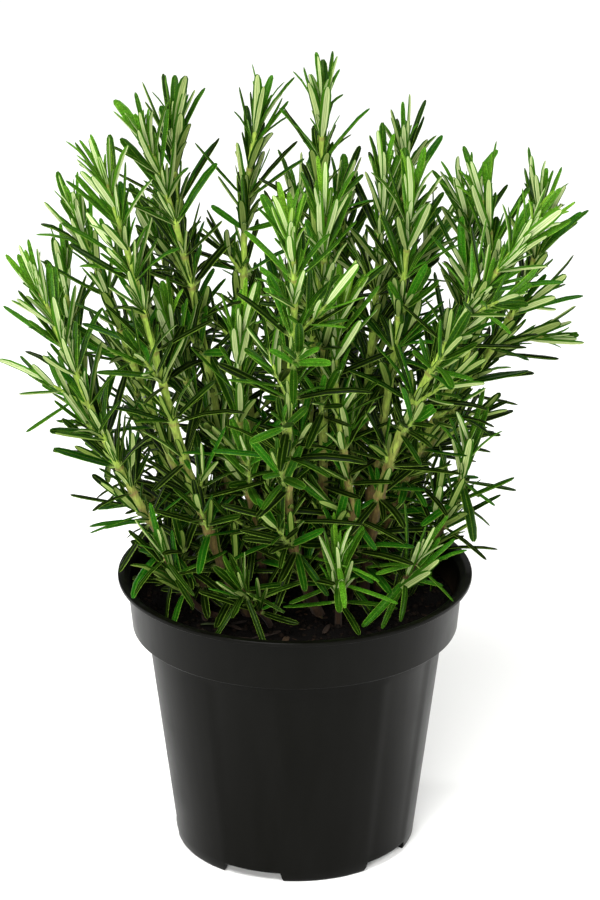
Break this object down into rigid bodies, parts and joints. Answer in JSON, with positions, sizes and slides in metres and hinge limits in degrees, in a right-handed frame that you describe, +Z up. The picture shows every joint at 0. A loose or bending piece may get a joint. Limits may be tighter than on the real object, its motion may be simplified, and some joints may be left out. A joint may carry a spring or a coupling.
{
  "type": "potted rosemary plant",
  "caption": "Bushy rosemary herb of upright leafy stems growing from the soil of a round black plastic nursery pot.",
  "frame": {"origin": "on the ground at the pot's axis, in the plane of the foot ring", "axes": "+Z up along the pot's axis, -Y toward the viewer of the picture, +X to the viewer's right"},
  "size_m": [0.2224, 0.1642, 0.3214],
  "materials": {
    "pot": "satin",
    "soil": "matte",
    "rosemary": "satin"
  },
  "bodies": {
    "root": {"pot": "pot", "soil": "soil", "stem_left_outer": "rosemary", "stem_left_low": "rosemary", "stem_left_behind": "rosemary", "stem_left_tall": "rosemary", "stem_back_left_tall": "rosemary", "stem_front_left": "rosemary", "stem_middle_left_tall": "rosemary", "stem_topmost": "rosemary", "stem_back_right_tall": "rosemary", "stem_right_tall": "rosemary", "stem_right_inner_tall": "rosemary", "stem_front_right": "rosemary", "stem_right_outer": "rosemary", "stem_right_drooping": "rosemary", "stem_front_middle": "rosemary", "stem_short_left": "rosemary", "stem_front_inner": "rosemary", "stem_short_right": "rosemary", "stem_middle_right": "rosemary", "stem_behind_topmost": "rosemary", "stem_right_middle": "rosemary", "stem_right_low": "rosemary", "stem_left_inner": "rosemary", "sprout_front": "rosemary", "sprout_front_right": "rosemary", "sprout_left": "rosemary", "sprout_front_left": "rosemary", "stem_back_left": "rosemary", "stem_back": "rosemary", "stem_back_right": "rosemary", "stem_back_left_low": "rosemary", "stem_back_low": "rosemary", "stem_back_right_low": "rosemary"}
  },
  "joints": []
}
